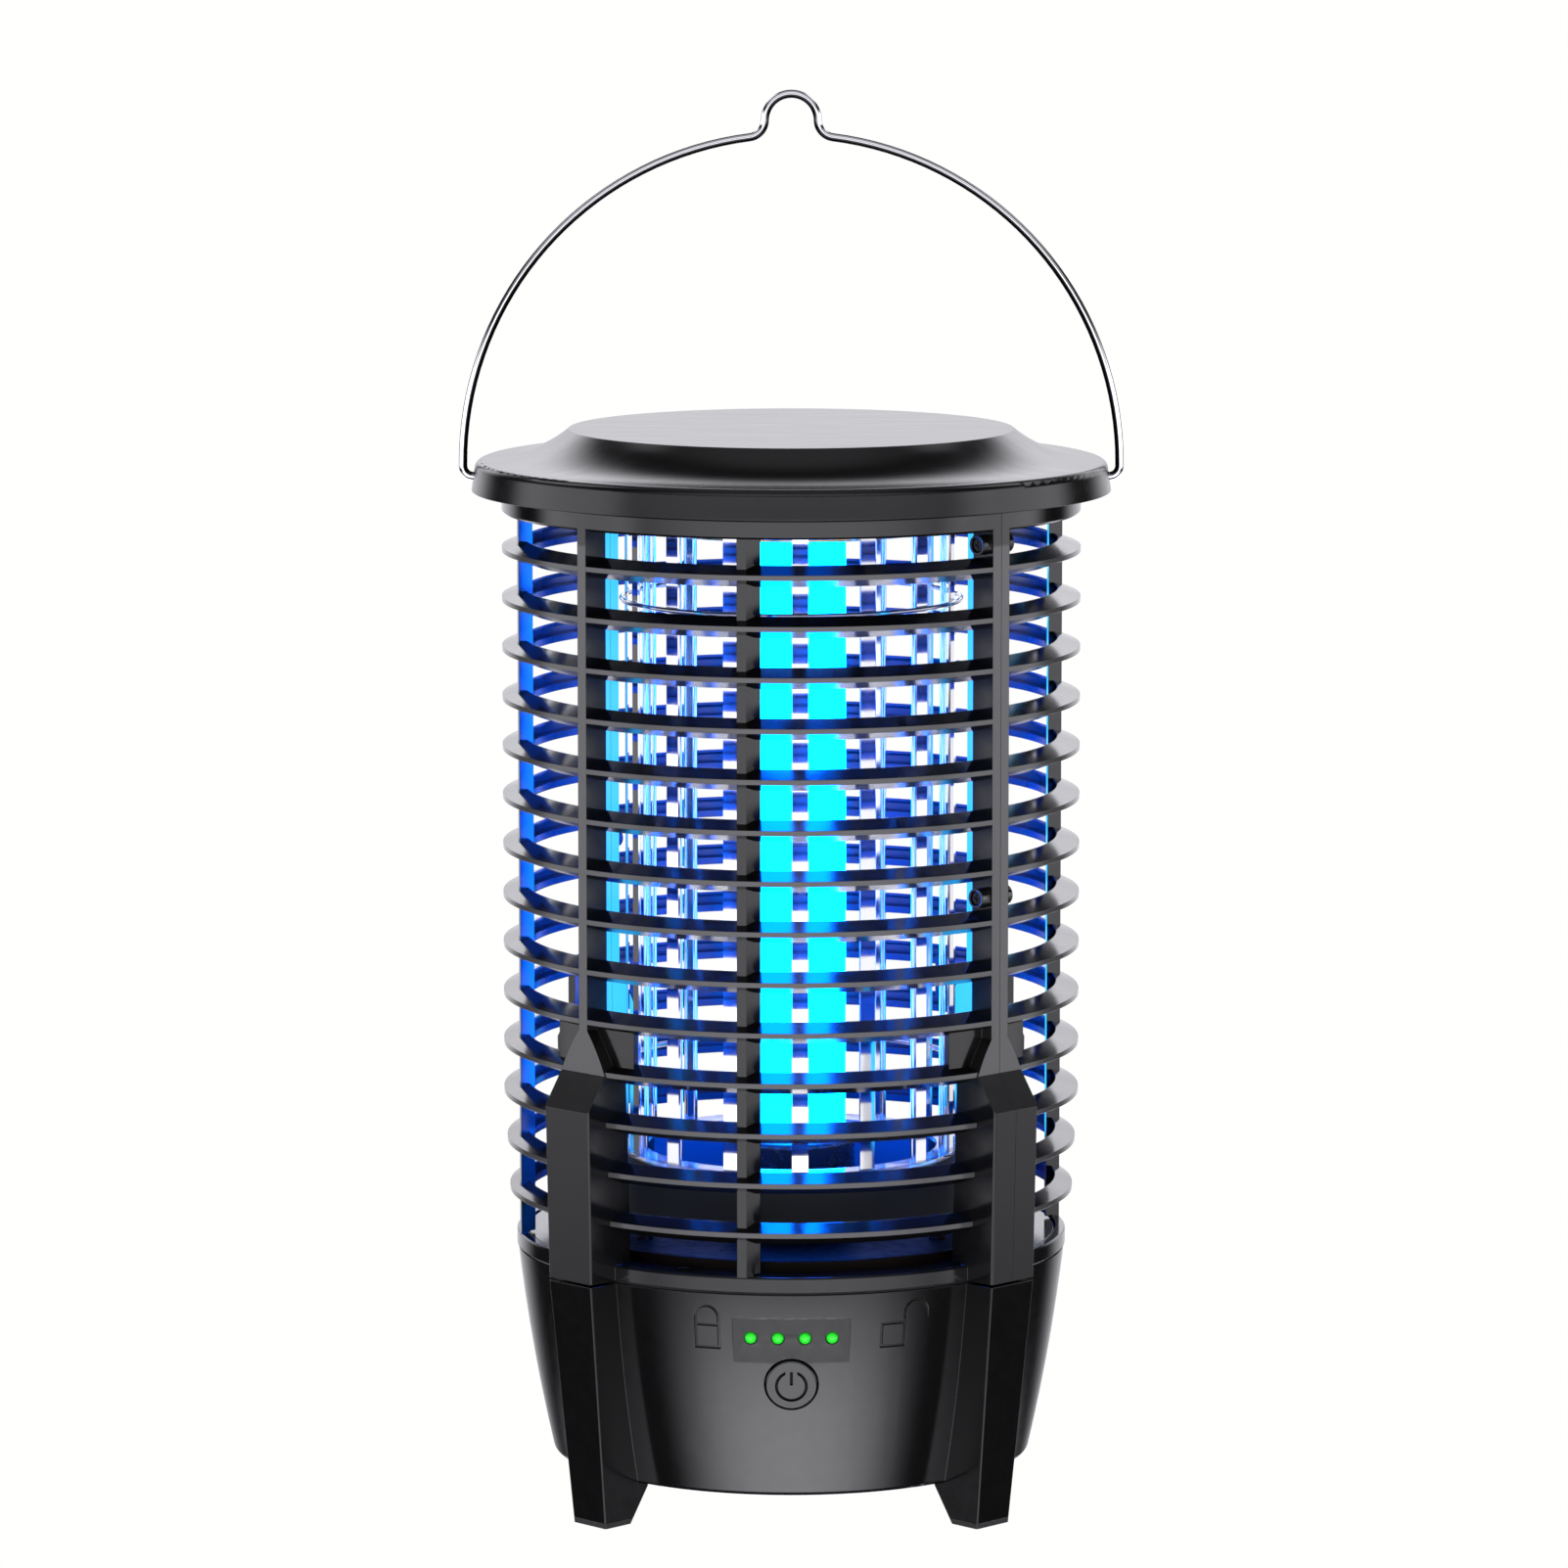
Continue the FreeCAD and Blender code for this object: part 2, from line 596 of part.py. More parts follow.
def make_hv_module():
    case = box(-19, -31, COVER_TOP_Z + 0.2, 19, -5, 32.5)
    return case.makeFillet(1.2, [e for e in case.Edges if abs(e.Vertexes[0].Z - e.Vertexes[1].Z) > 5])


def make_hv_capacitor():
    case = box(23, -27, COVER_TOP_Z + 0.2, 34, -8, 30.0)
    return case.makeFillet(1.5, [e for e in case.Edges if abs(e.Vertexes[0].Z - e.Vertexes[1].Z) > 5])


def make_indicator_board():
    board = box(INDICATOR_BACK, -14, -10.5, INDICATOR_BACK + INDICATOR_T, 14, 14.5)
    return panel_place(board, 0, BUTTON_Z)


def make_tact_switch():
    front = INDICATOR_BACK + INDICATOR_T
    body = box(front, -3, -3, front + 4.0, 3, 3)
    bore = x_disc(1.75, front + 1.2, front + 5)
    return panel_place(body.cut(bore), 0, BUTTON_Z)


def make_switch_plunger():
    front = INDICATOR_BACK + INDICATOR_T
    return panel_place(x_disc(1.65, front + 2.4, -5.2), 0, BUTTON_Z)


def power_symbol():
    """Engraved power symbol as strokes along X: a broken circle and an upright bar."""
    stroke = 0.7
    r = 3.8
    circle = x_disc(r, -1, 1).cut(x_disc(r - stroke, -2, 2))
    gap = box(-2, -1.35, 0, 2, 1.35, 9)
    bar = box(-1, -stroke / 2, 0.2, 1, stroke / 2, 3.5)
    return circle.cut(gap), bar


def make_power_button():
    cap = x_disc(BUTTON_R, -3.6, 0.5)
    rim = [e for e in cap.Edges if abs(e.BoundBox.XMin - 0.5) < 1e-3 and e.BoundBox.XLength < 1e-3]
    cap = cap.makeFillet(0.45, rim)
    flange = x_disc(BUTTON_R + 1.2, -4.4, -3.5)
    stem = x_disc(2.2, -5.2, -4.3)
    circle, bar = power_symbol()
    lift = V(1.5 - SYMBOL_DEPTH, 0, -0.25)
    button = union([cap, flange, stem]).cut([circle.translated(lift), bar.translated(lift)])
    return panel_place(button, 0, BUTTON_Z)


def make_indicator_leds():
    leds = []
    for x in LED_XS:
        body = x_disc(LED_R, -9.0, -0.6)
        dome = Part.makeSphere(LED_R, V(-0.6, 0, 0)).common(box(-0.6, -3, -3, 3, 3, 3))
        leds.append(panel_place(body.fuse(dome).removeSplitter(), x, LED_Z))
    return Part.makeCompound(leds)


def make_charge_port():
    low = BOARD_Z + BOARD_T
    shell = box(-4.5, 49.5, low, 4.5, 59.9, low + 3.3)
    shell = shell.makeFillet(1.2, [e for e in shell.Edges if e.BoundBox.YLength > 5])
    mouth = box(-4.1, 54.0, low + 0.35, 4.1, 61, low + 2.95)
    tongue = box(-3.2, 53.0, low + 1.35, 3.2, 59.2, low + 1.95)
    return shell.cut(mouth).fuse(tongue)


def make_port_cover():
    """Soft flap with a rounded upper edge about its hinge line."""
    y0 = PORT_FLOOR_Y + 0.3
    low = PORT_Z - FLAP_H / 2
    high = PORT_Z + FLAP_H / 2
    r = FLAP_T / 2
    slab = box(-FLAP_W / 2, y0, low, FLAP_W / 2, y0 + FLAP_T, high - r)
    barrel = rod(r, V(-FLAP_W / 2, y0 + r, high - r), V(FLAP_W / 2, y0 + r, high - r))
    plug = box(-3.9, y0 - 0.9, PORT_Z - 1.2, 3.9, y0, PORT_Z + 1.0)
    lip = box(-3, y0 + FLAP_T, low + 0.4, 3, y0 + FLAP_T + 0.6, low + 1.4)
    return union([slab, barrel, plug, lip])


def make_internal_leads():
    top = BOARD_Z + BOARD_T
    deck = SEAM_Z
    leads = []
    for x, y, inward in ((22, -22, 14), (-22, -22, -14), (8, 24, 2.5), (-8, 24, -2.5)):
        end = V(inward, y * 0.1, deck - 0.5)
        corner_low = V(x, y, top + 9)
        corner_high = V(inward, y * 0.1, deck - 7.5)
        leads.append(swept([V(x, y, top), corner_low, corner_high, end], [4.0, 3.0], 0.8))
    return Part.makeCompound(leads)


# ---- cage ---------------------------------------------------------------------------------
def ring_z(index):
    return RING_LOW_Z + RING_PITCH * index


def upper_leg():
    """One upper leg with its gusset, radial direction +X."""
    inner_low, inner_top = 59.6, COLLAR_R - RIB_DEPTH
    side = plate_xz([(inner_low, CAGE_LOW_Z), (LEG_OUT_SEAM_R, CAGE_LOW_Z),
                     (LEG_OUT_TOP_R, LEG_SHOULDER_Z), (COLLAR_R, GUSSET_WIDE_Z),
                     (COLLAR_R, GUSSET_TOP_Z), (inner_top, GUSSET_TOP_Z)], 10)
    w, top_w = LEG_HALF_W, LEG_RIB_W / 2
    bulge = (w * 0.62, (GUSSET_WIDE_Z + GUSSET_TOP_Z) / 2 + 0.4)
    front = plate_yz([(-LEG_SEAM_HALF_W, CAGE_LOW_Z), (LEG_SEAM_HALF_W, CAGE_LOW_Z),
                      (w, LEG_SHOULDER_Z), (w, GUSSET_WIDE_Z),
                      ("arc", bulge, (top_w, GUSSET_TOP_Z)), (-top_w, GUSSET_TOP_Z),
                      ("arc", (-bulge[0], bulge[1]), (-w, GUSSET_WIDE_Z)),
                      (-w, LEG_SHOULDER_Z)], 50, 90)
    leg = side.common(front)
    outer = [e for e in leg.Edges if all(v.X > LEG_OUT_SEAM_R - 0.1 for v in e.Vertexes)
             and abs(e.Vertexes[0].Z - e.Vertexes[1].Z) > 20]
    return leg.makeFillet(0.5, outer)


def cage_half_frame():
    """One moulded half of the cage frame, drawn along +X, its parting plane at x = 0."""
    half_turn = (180, -90)
    collar = revolved([(COLLAR_R - RIB_DEPTH, COLLAR_LOW_Z), (COLLAR_R - 0.5, COLLAR_LOW_Z),
                       (COLLAR_R, COLLAR_LOW_Z + 0.5), (COLLAR_R, COLLAR_TOP_Z),
                       (COLLAR_R - RIB_DEPTH, COLLAR_TOP_Z)], *half_turn)
    band = revolved([(BAND_INNER_R, CAGE_LOW_Z), (BAND_R, CAGE_LOW_Z), (BAND_R, BAND_TOP_Z - 0.4),
                     (BAND_R - 0.4, BAND_TOP_Z), (BAND_INNER_R, BAND_TOP_Z)], *half_turn)
    low, high = CAGE_LOW_Z, COLLAR_LOW_Z + 0.5
    rim = Part.makeCylinder(COLLAR_R, high - low, V(0, 0, low))
    recessed = tube(THIN_RIB_R, THIN_RIB_INNER_R, low + 2, high)
    inner_r = COLLAR_R - RIB_DEPTH
    leg_rib = box(inner_r, -LEG_RIB_W / 2, BAND_TOP_Z, COLLAR_R + 1, LEG_RIB_W / 2, high).common(rim)
    parts = [collar, band, leg_rib, upper_leg()]
    leg_at_seam = [turned(upper_leg(), side * 90) for side in (-1, 1)]
    keep = box(MOULD_GAP, -99, 0, 99, 99, 300)
    for side, leg in zip((-1, 1), leg_at_seam):
        y0, y1 = sorted((side * inner_r, side * (COLLAR_R + 1)))
        seam_rib = box(0, y0, BAND_TOP_Z, LEG_RIB_W, y1, high).common(rim)
        y0, y1 = sorted((side * THIN_RIB_Y[0], side * THIN_RIB_Y[1]))
        thin_rib = box(30, y0, low + 2, 70, y1, high).common(recessed)
        lug = revolved([(LUG_INNER_R, LUG_Z[0]), (BAND_INNER_R + 0.5, LUG_Z[0]),
                        (BAND_INNER_R + 0.5, LUG_Z[1]), (LUG_INNER_R, LUG_Z[1])],
                       2 * LUG_HALF_DEG, side * 45 - LUG_HALF_DEG)
        parts.extend([seam_rib, thin_rib, lug, leg])
        for z in BOSS_Z:
            at = V(0, side * BOSS_RADIUS_POS, z)
            parts.append(Part.makeCylinder(BOSS_R, BOSS_HALF, at, V(1, 0, 0)))
    web_low = ring_z(3) + EDGE_T
    web_high = ring_z(4)
    inner, outer = THIN_RIB_R - WEB_T, THIN_RIB_R
    web = revolved([(inner, web_low), (outer, web_low), (outer, web_high), (inner, web_high)],
                   2 * WEB_HALF_DEG, -WEB_HALF_DEG)
    parts.append(web)
    parts.extend([turned(web, 90), turned(web, -90)])
    return union(parts).cut(collar_room()).common(keep).removeSplitter()


def collar_room():
    """Space kept free inside the band for the deck's bayonet ring, the lugs left standing in it."""
    room = Part.makeCylinder(BAND_INNER_R, BAND_TOP_Z + 0.3 - CAGE_LOW_Z + 1, V(0, 0, CAGE_LOW_Z - 1))
    lug = revolved([(LUG_INNER_R, LUG_Z[0]), (BAND_INNER_R + 0.5, LUG_Z[0]),
                    (BAND_INNER_R + 0.5, LUG_Z[1]), (LUG_INNER_R, LUG_Z[1])],
                   2 * LUG_HALF_DEG, 45 - LUG_HALF_DEG)
    return room.cut([lug, turned(lug, -90)])


def louvre_quarter(index, frame):
    """A quarter of one louvre ring, from the leg rib to the seam rib of a half."""
    z = ring_z(index)
    r = LOW_LOUVRE_R[index] if index < len(LOW_LOUVRE_R) else COLLAR_R
    top = z + EDGE_T + LOUVRE_RISE
    profile = [(r, z), (r, z + EDGE_T), (LOUVRE_INNER_R, top), (LOUVRE_INNER_R, top - LIP_T),
               (CHANNEL_R, z + CHANNEL_Z[1]), (CHANNEL_R, z + CHANNEL_Z[0]),
               (LOUVRE_INNER_R, z + CHANNEL_Z[0]), (LOUVRE_INNER_R, z - LOUVRE_DROP)]
    quarter = revolved(profile, 90, 0)
    quarter = quarter.cut(frame).common(box(1, 0, 0, 99, 99, 300))
    return max(quarter.Solids, key=lambda solid: solid.Volume)


def make_cage():
    frame = cage_half_frame()
    quarters = [louvre_quarter(i, frame) for i in range(RING_COUNT)]
    mirrored = [q.mirror(ORIGIN, V(0, 1, 0)) for q in quarters]
    head_well = []
    thread_hole = []
    for side in (-1, 1):
        for z in BOSS_Z:
            at = V(0, side * BOSS_RADIUS_POS, z)
            through = Part.makeCylinder(1.2, 20, at + V(-1, 0, 0), V(1, 0, 0))
            well = Part.makeCylinder(1.75, 9, at + V(BOSS_HALF - 1.4, 0, 0), V(1, 0, 0))
            head_well.append(through.fuse(well))
            thread_hole.append(Part.makeCylinder(1.0, 4.6, at + V(-1, 0, 0), V(1, 0, 0)))
    plate_holes = [Part.makeCylinder(1.0, 5, V(TOP_SCREW_R, 0, COLLAR_TOP_Z - 4)).rotated(
        ORIGIN, UP, angle) for angle in (-45, 45)]
    left = frame.cut(head_well + plate_holes)
    right = frame.cut(thread_hole + plate_holes)
    return {
        "cage_frame_left": turned(left, HALF_TURNS["left"]),
        "cage_frame_right": turned(right, HALF_TURNS["right"]),
        "louvres_front": turned(Part.makeCompound(quarters), HALF_TURNS["left"]),
        "louvres_left": turned(Part.makeCompound(mirrored), HALF_TURNS["left"]),
        "louvres_rear": turned(Part.makeCompound(quarters), HALF_TURNS["right"]),
        "louvres_right": turned(Part.makeCompound(mirrored), HALF_TURNS["right"]),
    }


def make_seam_screws():
    one = screw(1.65, 1.0, 0.95, BOSS_HALF - 1.4 + 3.2).rotated(ORIGIN, V(0, 1, 0), 90)
    screws = []
    for side in (-1, 1):
        for z in BOSS_Z:
            screws.append(one.translated(V(BOSS_HALF - 1.4, side * BOSS_RADIUS_POS, z)))
    return turned(Part.makeCompound(screws), HALF_TURNS["left"])


def make_cage_top_plate():
    plate = Part.makeCylinder(TOP_PLATE_R, TOP_PLATE_T, V(0, 0, COLLAR_TOP_Z))
    holes = around(Part.makeCylinder(1.2, 9, V(TOP_SCREW_R, 0, COLLAR_TOP_Z - 2)), TOP_SCREW_AZ)
    holes += around(Part.makeCylinder(1.4, 9, V(LID_SCREW_R, 0, COLLAR_TOP_Z - 2)), LID_SCREW_AZ)
    return plate.cut(holes)


def make_top_plate_screws():
    one = screw(2.1, 1.3, 0.95, TOP_PLATE_T + 3.4)
    one.translate(V(TOP_SCREW_R, 0, COLLAR_TOP_Z + TOP_PLATE_T))
    return Part.makeCompound(around(one, TOP_SCREW_AZ))


def lid_outside():
    """Solid inside the lid's outer skin: flat disc, concave flare, rounded rim, flared skirt."""
    return revolved([
        (0, LID_SKIRT_Z), (LID_R, LID_SKIRT_Z), (LID_R - 0.7, LID_RIM_Z - 0.2),
        ("arc", (LID_R - 1.15, LID_RIM_Z + 0.9), (LID_R - 2.6, LID_RIM_Z + 1.5)),
        ("arc", (LID_DISC_R + 6.6, LID_TOP_Z - 4.3), (LID_DISC_R, LID_TOP_Z)), (0, LID_TOP_Z)])


def lid_inside():
    """Hollow under the lid's skin."""
    rim_r = LID_R - LID_WALL
    low = LID_SKIRT_Z - 1
    return revolved([
        (0, low), (rim_r, low), (rim_r - 0.7, LID_RIM_Z - 1.4),
        ("arc", (rim_r - 1.3, LID_RIM_Z - 0.5), (rim_r - 2.8, LID_RIM_Z)),
        ("arc", (LID_DISC_R + 4.6, LID_TOP_Z - 6.2), (LID_DISC_R - 1.7, LID_TOP_Z - LID_WALL)),
        (0, LID_TOP_Z - LID_WALL)])


def make_lid():
    outside = lid_outside()
    shell = outside.cut(lid_inside())
    plate_top = COLLAR_TOP_Z + TOP_PLATE_T
    boss = Part.makeCylinder(3.2, LID_TOP_Z - 1 - plate_top, V(LID_SCREW_R, 0, plate_top))
    pilot = Part.makeCylinder(1.05, 8, V(LID_SCREW_R, 0, plate_top - 1))
    rim_rib = tube(TOP_PLATE_R, TOP_PLATE_R - 1.8, plate_top, LID_RIM_Z + 1).common(outside)
    solid = shell.fuse([rim_rib] + around(boss, LID_SCREW_AZ))
    well = around(Part.makeCylinder(2.6, 1.8, V(TOP_SCREW_R, 0, plate_top - 0.1)), TOP_SCREW_AZ)
    pivots = [rod(BAIL_WIRE_R + 0.07, V(s * 66, 0, PIVOT_Z), V(s * 80, 0, PIVOT_Z)) for s in (-1, 1)]
    return solid.cut(around(pilot, LID_SCREW_AZ) + well + pivots).removeSplitter()


def make_lid_screws():
    one = screw(2.4, 1.4, 1.0, TOP_PLATE_T + 5.5).rotated(ORIGIN, V(1, 0, 0), 180)
    one.translate(V(LID_SCREW_R, 0, COLLAR_TOP_Z))
    return Part.makeCompound(around(one, LID_SCREW_AZ))


# ---- handle -------------------------------------------------------------------------------
def bail_edges():
    """Right half of the wire from its inner end to the top, in the XZ plane."""
    hump_z = HUMP_TOP_Z - HUMP_R
    far = BAIL_R + HUMP_NECK_R
    near = HUMP_R + HUMP_NECK_R
    rise = hump_z - BAIL_CENTRE_Z
    along = (far * far - near * near + rise * rise) / (2 * rise)
    across = math.sqrt(far * far - along * along)
    neck = V(across, 0, BAIL_CENTRE_Z + along)
    big = V(0, 0, BAIL_CENTRE_Z)
    small = V(0, 0, hump_z)
    join_big = big + (neck - big).normalize() * BAIL_R
    join_small = small + (neck - small).normalize() * HUMP_R
    start = V(BAIL_END_X, 0, PIVOT_Z)
    bend_in = V(BAIL_R - BAIL_BEND_R, 0, PIVOT_Z)
    bend_out = V(BAIL_R, 0, PIVOT_Z + BAIL_BEND_R)
    half = math.sqrt(0.5)
    bend_mid = V(BAIL_R - BAIL_BEND_R * (1 - half), 0, PIVOT_Z + BAIL_BEND_R * (1 - half))
    foot = V(BAIL_R, 0, BAIL_CENTRE_Z)
    mid_angle = math.atan2(join_big.z - BAIL_CENTRE_Z, join_big.x) / 2
    big_mid = big + V(math.cos(mid_angle), 0, math.sin(mid_angle)) * BAIL_R
    neck_mid = neck + ((big + small) * 0.5 - neck).normalize() * HUMP_NECK_R
    small_angle = (math.atan2(join_small.z - hump_z, join_small.x) + math.pi / 2) / 2
    small_mid = small + V(math.cos(small_angle), 0, math.sin(small_angle)) * HUMP_R
    top = V(0, 0, HUMP_TOP_Z)
    return [Part.LineSegment(start, bend_in).toShape(), Part.Arc(bend_in, bend_mid, bend_out).toShape(),
            Part.LineSegment(bend_out, foot).toShape(), Part.Arc(foot, big_mid, join_big).toShape(),
            Part.Arc(join_big, neck_mid, join_small).toShape(),
            Part.Arc(join_small, small_mid, top).toShape()]


def make_bail_handle():
    half = pipe(bail_edges(), BAIL_WIRE_R)
    return half.fuse(half.mirror(ORIGIN, V(1, 0, 0))).removeSplitter()


def make_bail_retainers():
    clips = []
    for side in (-1, 1):
        x0 = side * (BAIL_END_X + 0.4)
        x1 = side * (BAIL_END_X + 1.3)
        disc = rod(1.7, V(x0, 0, PIVOT_Z), V(x1, 0, PIVOT_Z))
        clips.append(disc.cut(rod(BAIL_WIRE_R, V(side * 60, 0, PIVOT_Z), V(side * 80, 0, PIVOT_Z))))
    return Part.makeCompound(clips)


def build():
    nodes = {
        "base_housing": make_base_housing(),
        "base_bottom_cover": make_bottom_cover(),
        "bottom_cover_screws": make_cover_screws(),
        "foot_pads": make_foot_pads(),
        "deck_plate": make_deck_plate(),
        "deck_screws": make_deck_screws(),
        "seal_ring": make_seal_ring(),
        "catch_tray": make_catch_tray(),
        "grid_posts": make_grid_posts(),
        "grid_skirt": make_grid_skirt(),
        "grid_base_ring": make_grid_base_ring(),
        "grid_bars": make_grid_bars(),
        "grid_wires": make_grid_wires(),
        "grid_hoops": make_grid_hoops(),
        "hv_ring": make_hv_ring(),
        "grid_top_plate": make_grid_top_plate(),
        "lamp_socket": make_lamp_socket(),
        "lamp_tube": make_lamp_tube(),
        "lamp_led_board": make_lamp_led_board(),
        "uv_leds": make_uv_leds(),
        "lamp_top_cap": make_lamp_top_cap(),
        "battery_cells": make_battery_cells(),
        "battery_holder": make_battery_holder(),
        "battery_contacts": make_battery_contacts(),
        "board_pillars": make_board_pillars(),
        "main_board": make_main_board(),
        "board_screws": make_board_screws(),
        "board_components": make_board_components(),
        "hv_module": make_hv_module(),
        "hv_capacitor": make_hv_capacitor(),
        "indicator_board": make_indicator_board(),
        "indicator_leds": make_indicator_leds(),
        "tact_switch": make_tact_switch(),
        "switch_plunger": make_switch_plunger(),
        "power_button": make_power_button(),
        "charge_port": make_charge_port(),
        "port_cover": make_port_cover(),
        "internal_leads": make_internal_leads(),
        "cage_seam_screws": make_seam_screws(),
        "cage_top_plate": make_cage_top_plate(),
        "top_plate_screws": make_top_plate_screws(),
        "lid": make_lid(),
        "lid_screws": make_lid_screws(),
        "bail_handle": make_bail_handle(),
        "bail_retainers": make_bail_retainers(),
    }
    nodes.update(make_cage())
    return nodes


def main():
    os.makedirs("parts", exist_ok=True)
    for name, shape in build().items():
        shape.exportStep("parts/%s.step" % name)
        print("%-22s solids %3d  volume %10.1f" % (name, len(shape.Solids), shape.Volume))


main()
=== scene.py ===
"""Looks of the lantern bug zapper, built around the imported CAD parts. Metres, front towards -Y."""
import bpy
import json
import math
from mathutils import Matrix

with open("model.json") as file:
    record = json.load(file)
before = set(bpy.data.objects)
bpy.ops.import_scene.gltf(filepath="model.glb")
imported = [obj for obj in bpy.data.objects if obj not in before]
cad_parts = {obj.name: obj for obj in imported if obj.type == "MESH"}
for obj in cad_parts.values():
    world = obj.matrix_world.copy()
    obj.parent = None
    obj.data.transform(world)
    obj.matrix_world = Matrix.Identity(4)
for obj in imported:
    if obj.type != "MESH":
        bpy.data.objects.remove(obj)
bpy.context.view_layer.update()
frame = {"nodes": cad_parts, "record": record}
nodes = frame["nodes"]

CAMERA_AT = (-0.0017, -1.778, 0.413)
CAMERA_TILT_DEG = 7.849
CAMERA_LENS = 174.6

MM = 0.001
WHITE = (1.0, 1.0, 0.99, 1.0)
FLOOR_HALF = 12.0
TUBE_RADIANCE = 48.0
TUBE_COLOR = (0.000125, 0.125, 1.0, 1.0)
LED_COLOR = (0.012, 0.78, 0.008, 1.0)


# ---- node helpers -------------------------------------------------------------------------
class Tree:
    """Short calls for building one node tree."""

    def __init__(self, tree):
        self.tree = tree
        self.nodes = tree.nodes
        self.nodes.clear()

    def add(self, kind, **settings):
        node = self.nodes.new(kind)
        for key, value in settings.items():
            setattr(node, key, value)
        return node

    def link(self, out, socket):
        self.tree.links.new(out, socket)

    def feed(self, socket, value):
        if isinstance(value, bpy.types.NodeSocket):
            self.link(value, socket)
        else:
            socket.default_value = value

    def math(self, operation, *values):
        node = self.add("ShaderNodeMath", operation=operation)
        for socket, value in zip(node.inputs, values):
            self.feed(socket, value)
        return node.outputs[0]

    def ramp(self, value, start, end, low=0.0, high=1.0):
        node = self.add("ShaderNodeMapRange", interpolation_type="SMOOTHSTEP")
        self.feed(node.inputs["Value"], value)
        node.inputs["From Min"].default_value = start
        node.inputs["From Max"].default_value = end
        node.inputs["To Min"].default_value = low
        node.inputs["To Max"].default_value = high
        return node.outputs["Result"]

    def product(self, *values):
        result = values[0]
        for value in values[1:]:
            result = self.math("MULTIPLY", result, value)
        return result

    def total(self, values):
        result = values[0]
        for value in values[1:]:
            result = self.math("ADD", result, value)
        return result

    def place(self):
        """Object-space position, its distance from the upright axis, and the facing of the surface
        away from that axis (-1 looks at the axis, 1 looks away). The normal is in world space, so
        the facing is right at rest and goes wrong when the piece is turned."""
        split = self.add("ShaderNodeSeparateXYZ")
        self.link(self.add("ShaderNodeTexCoord").outputs["Object"], split.inputs["Vector"])
        x, y, z = split.outputs["X"], split.outputs["Y"], split.outputs["Z"]
        radius = self.math("SQRT", self.math("ADD", self.product(x, x), self.product(y, y)))
        normal = self.add("ShaderNodeSeparateXYZ")
        self.link(self.add("ShaderNodeNewGeometry").outputs["True Normal"],
                  normal.inputs["Vector"])
        along = self.math("ADD", self.product(x, normal.outputs["X"]),
                          self.product(y, normal.outputs["Y"]))
        return x, y, z, radius, self.math("DIVIDE", along, radius)

    def mix_color(self, factor, first, second):
        node = self.add("ShaderNodeMix", data_type="RGBA")
        self.feed(node.inputs["Factor"], factor)
        for socket, value in zip((node.inputs[6], node.inputs[7]), (first, second)):
            if isinstance(value, bpy.types.NodeSocket):
                self.link(value, socket)
            else:
                socket.default_value = tuple(value)[:3] + (1.0,)
        return node.outputs[2]

    def noise(self, size_mm, detail, stretch):
        """Noise with features of about size_mm, in the object's own space."""
        mapping = self.add("ShaderNodeMapping")
        self.link(self.add("ShaderNodeTexCoord").outputs["Object"], mapping.inputs["Vector"])
        scale = 1.0 / (size_mm * MM)
        mapping.inputs["Scale"].default_value = tuple(scale / s for s in stretch)
        node = self.add("ShaderNodeTexNoise")
        node.inputs["Scale"].default_value = 1.0
        node.inputs["Detail"].default_value = detail
        self.link(mapping.outputs["Vector"], node.inputs["Vector"])
        return node.outputs["Fac"]


def surface(name, color, rough, metallic=0.0, grain_mm=0.35, grain_depth=0.004, streak=(1, 1, 1),
            rough_swing=0.05, tint=0.12, round_mm=0.0, glow=None, glow_strength=0.0,
            clear=0.0, ior=1.5, shine=0.5, extra=None):
    """A procedural material: grain bump, uneven roughness, a slight drift of tone."""
    material = bpy.data.materials.new(name)
    material.use_nodes = True
    tree = Tree(material.node_tree)
    output = tree.add("ShaderNodeOutputMaterial")
    shader = tree.add("ShaderNodeBsdfPrincipled")
    tree.link(shader.outputs["BSDF"], output.inputs["Surface"])
    cloud = tree.noise(9.0, 4.0, streak)
    dark = tuple(c * (1 - tint) for c in color)
    light = tuple(min(1.0, c * (1 + tint)) for c in color)
    tone = tree.mix_color(cloud, dark, light)
    tree.link(tone, shader.inputs["Base Color"])
    smudge = tree.noise(3.0, 5.0, streak)
    roughness = tree.ramp(smudge, 0.3, 0.7, max(0.02, rough - rough_swing), rough + rough_swing)
    tree.link(roughness, shader.inputs["Roughness"])
    shader.inputs["Metallic"].default_value = metallic
    shader.inputs["IOR"].default_value = ior
    shader.inputs["Specular IOR Level"].default_value = shine
    shader.inputs["Transmission Weight"].default_value = clear
    grain = tree.noise(grain_mm, 2.0, streak)
    bump = tree.add("ShaderNodeBump")
    bump.inputs["Strength"].default_value = 1.0
    bump.inputs["Distance"].default_value = grain_depth * MM
    tree.link(grain, bump.inputs["Height"])
    if round_mm:
        bevel = tree.add("ShaderNodeBevel", samples=6)
        bevel.inputs["Radius"].default_value = round_mm * MM
        tree.link(bevel.outputs["Normal"], bump.inputs["Normal"])
    tree.link(bump.outputs["Normal"], shader.inputs["Normal"])
    if glow is not None:
        shader.inputs["Emission Color"].default_value = glow
        shader.inputs["Emission Strength"].default_value = glow_strength
    if extra is not None:
        extra(tree, shader, tone)
    return material


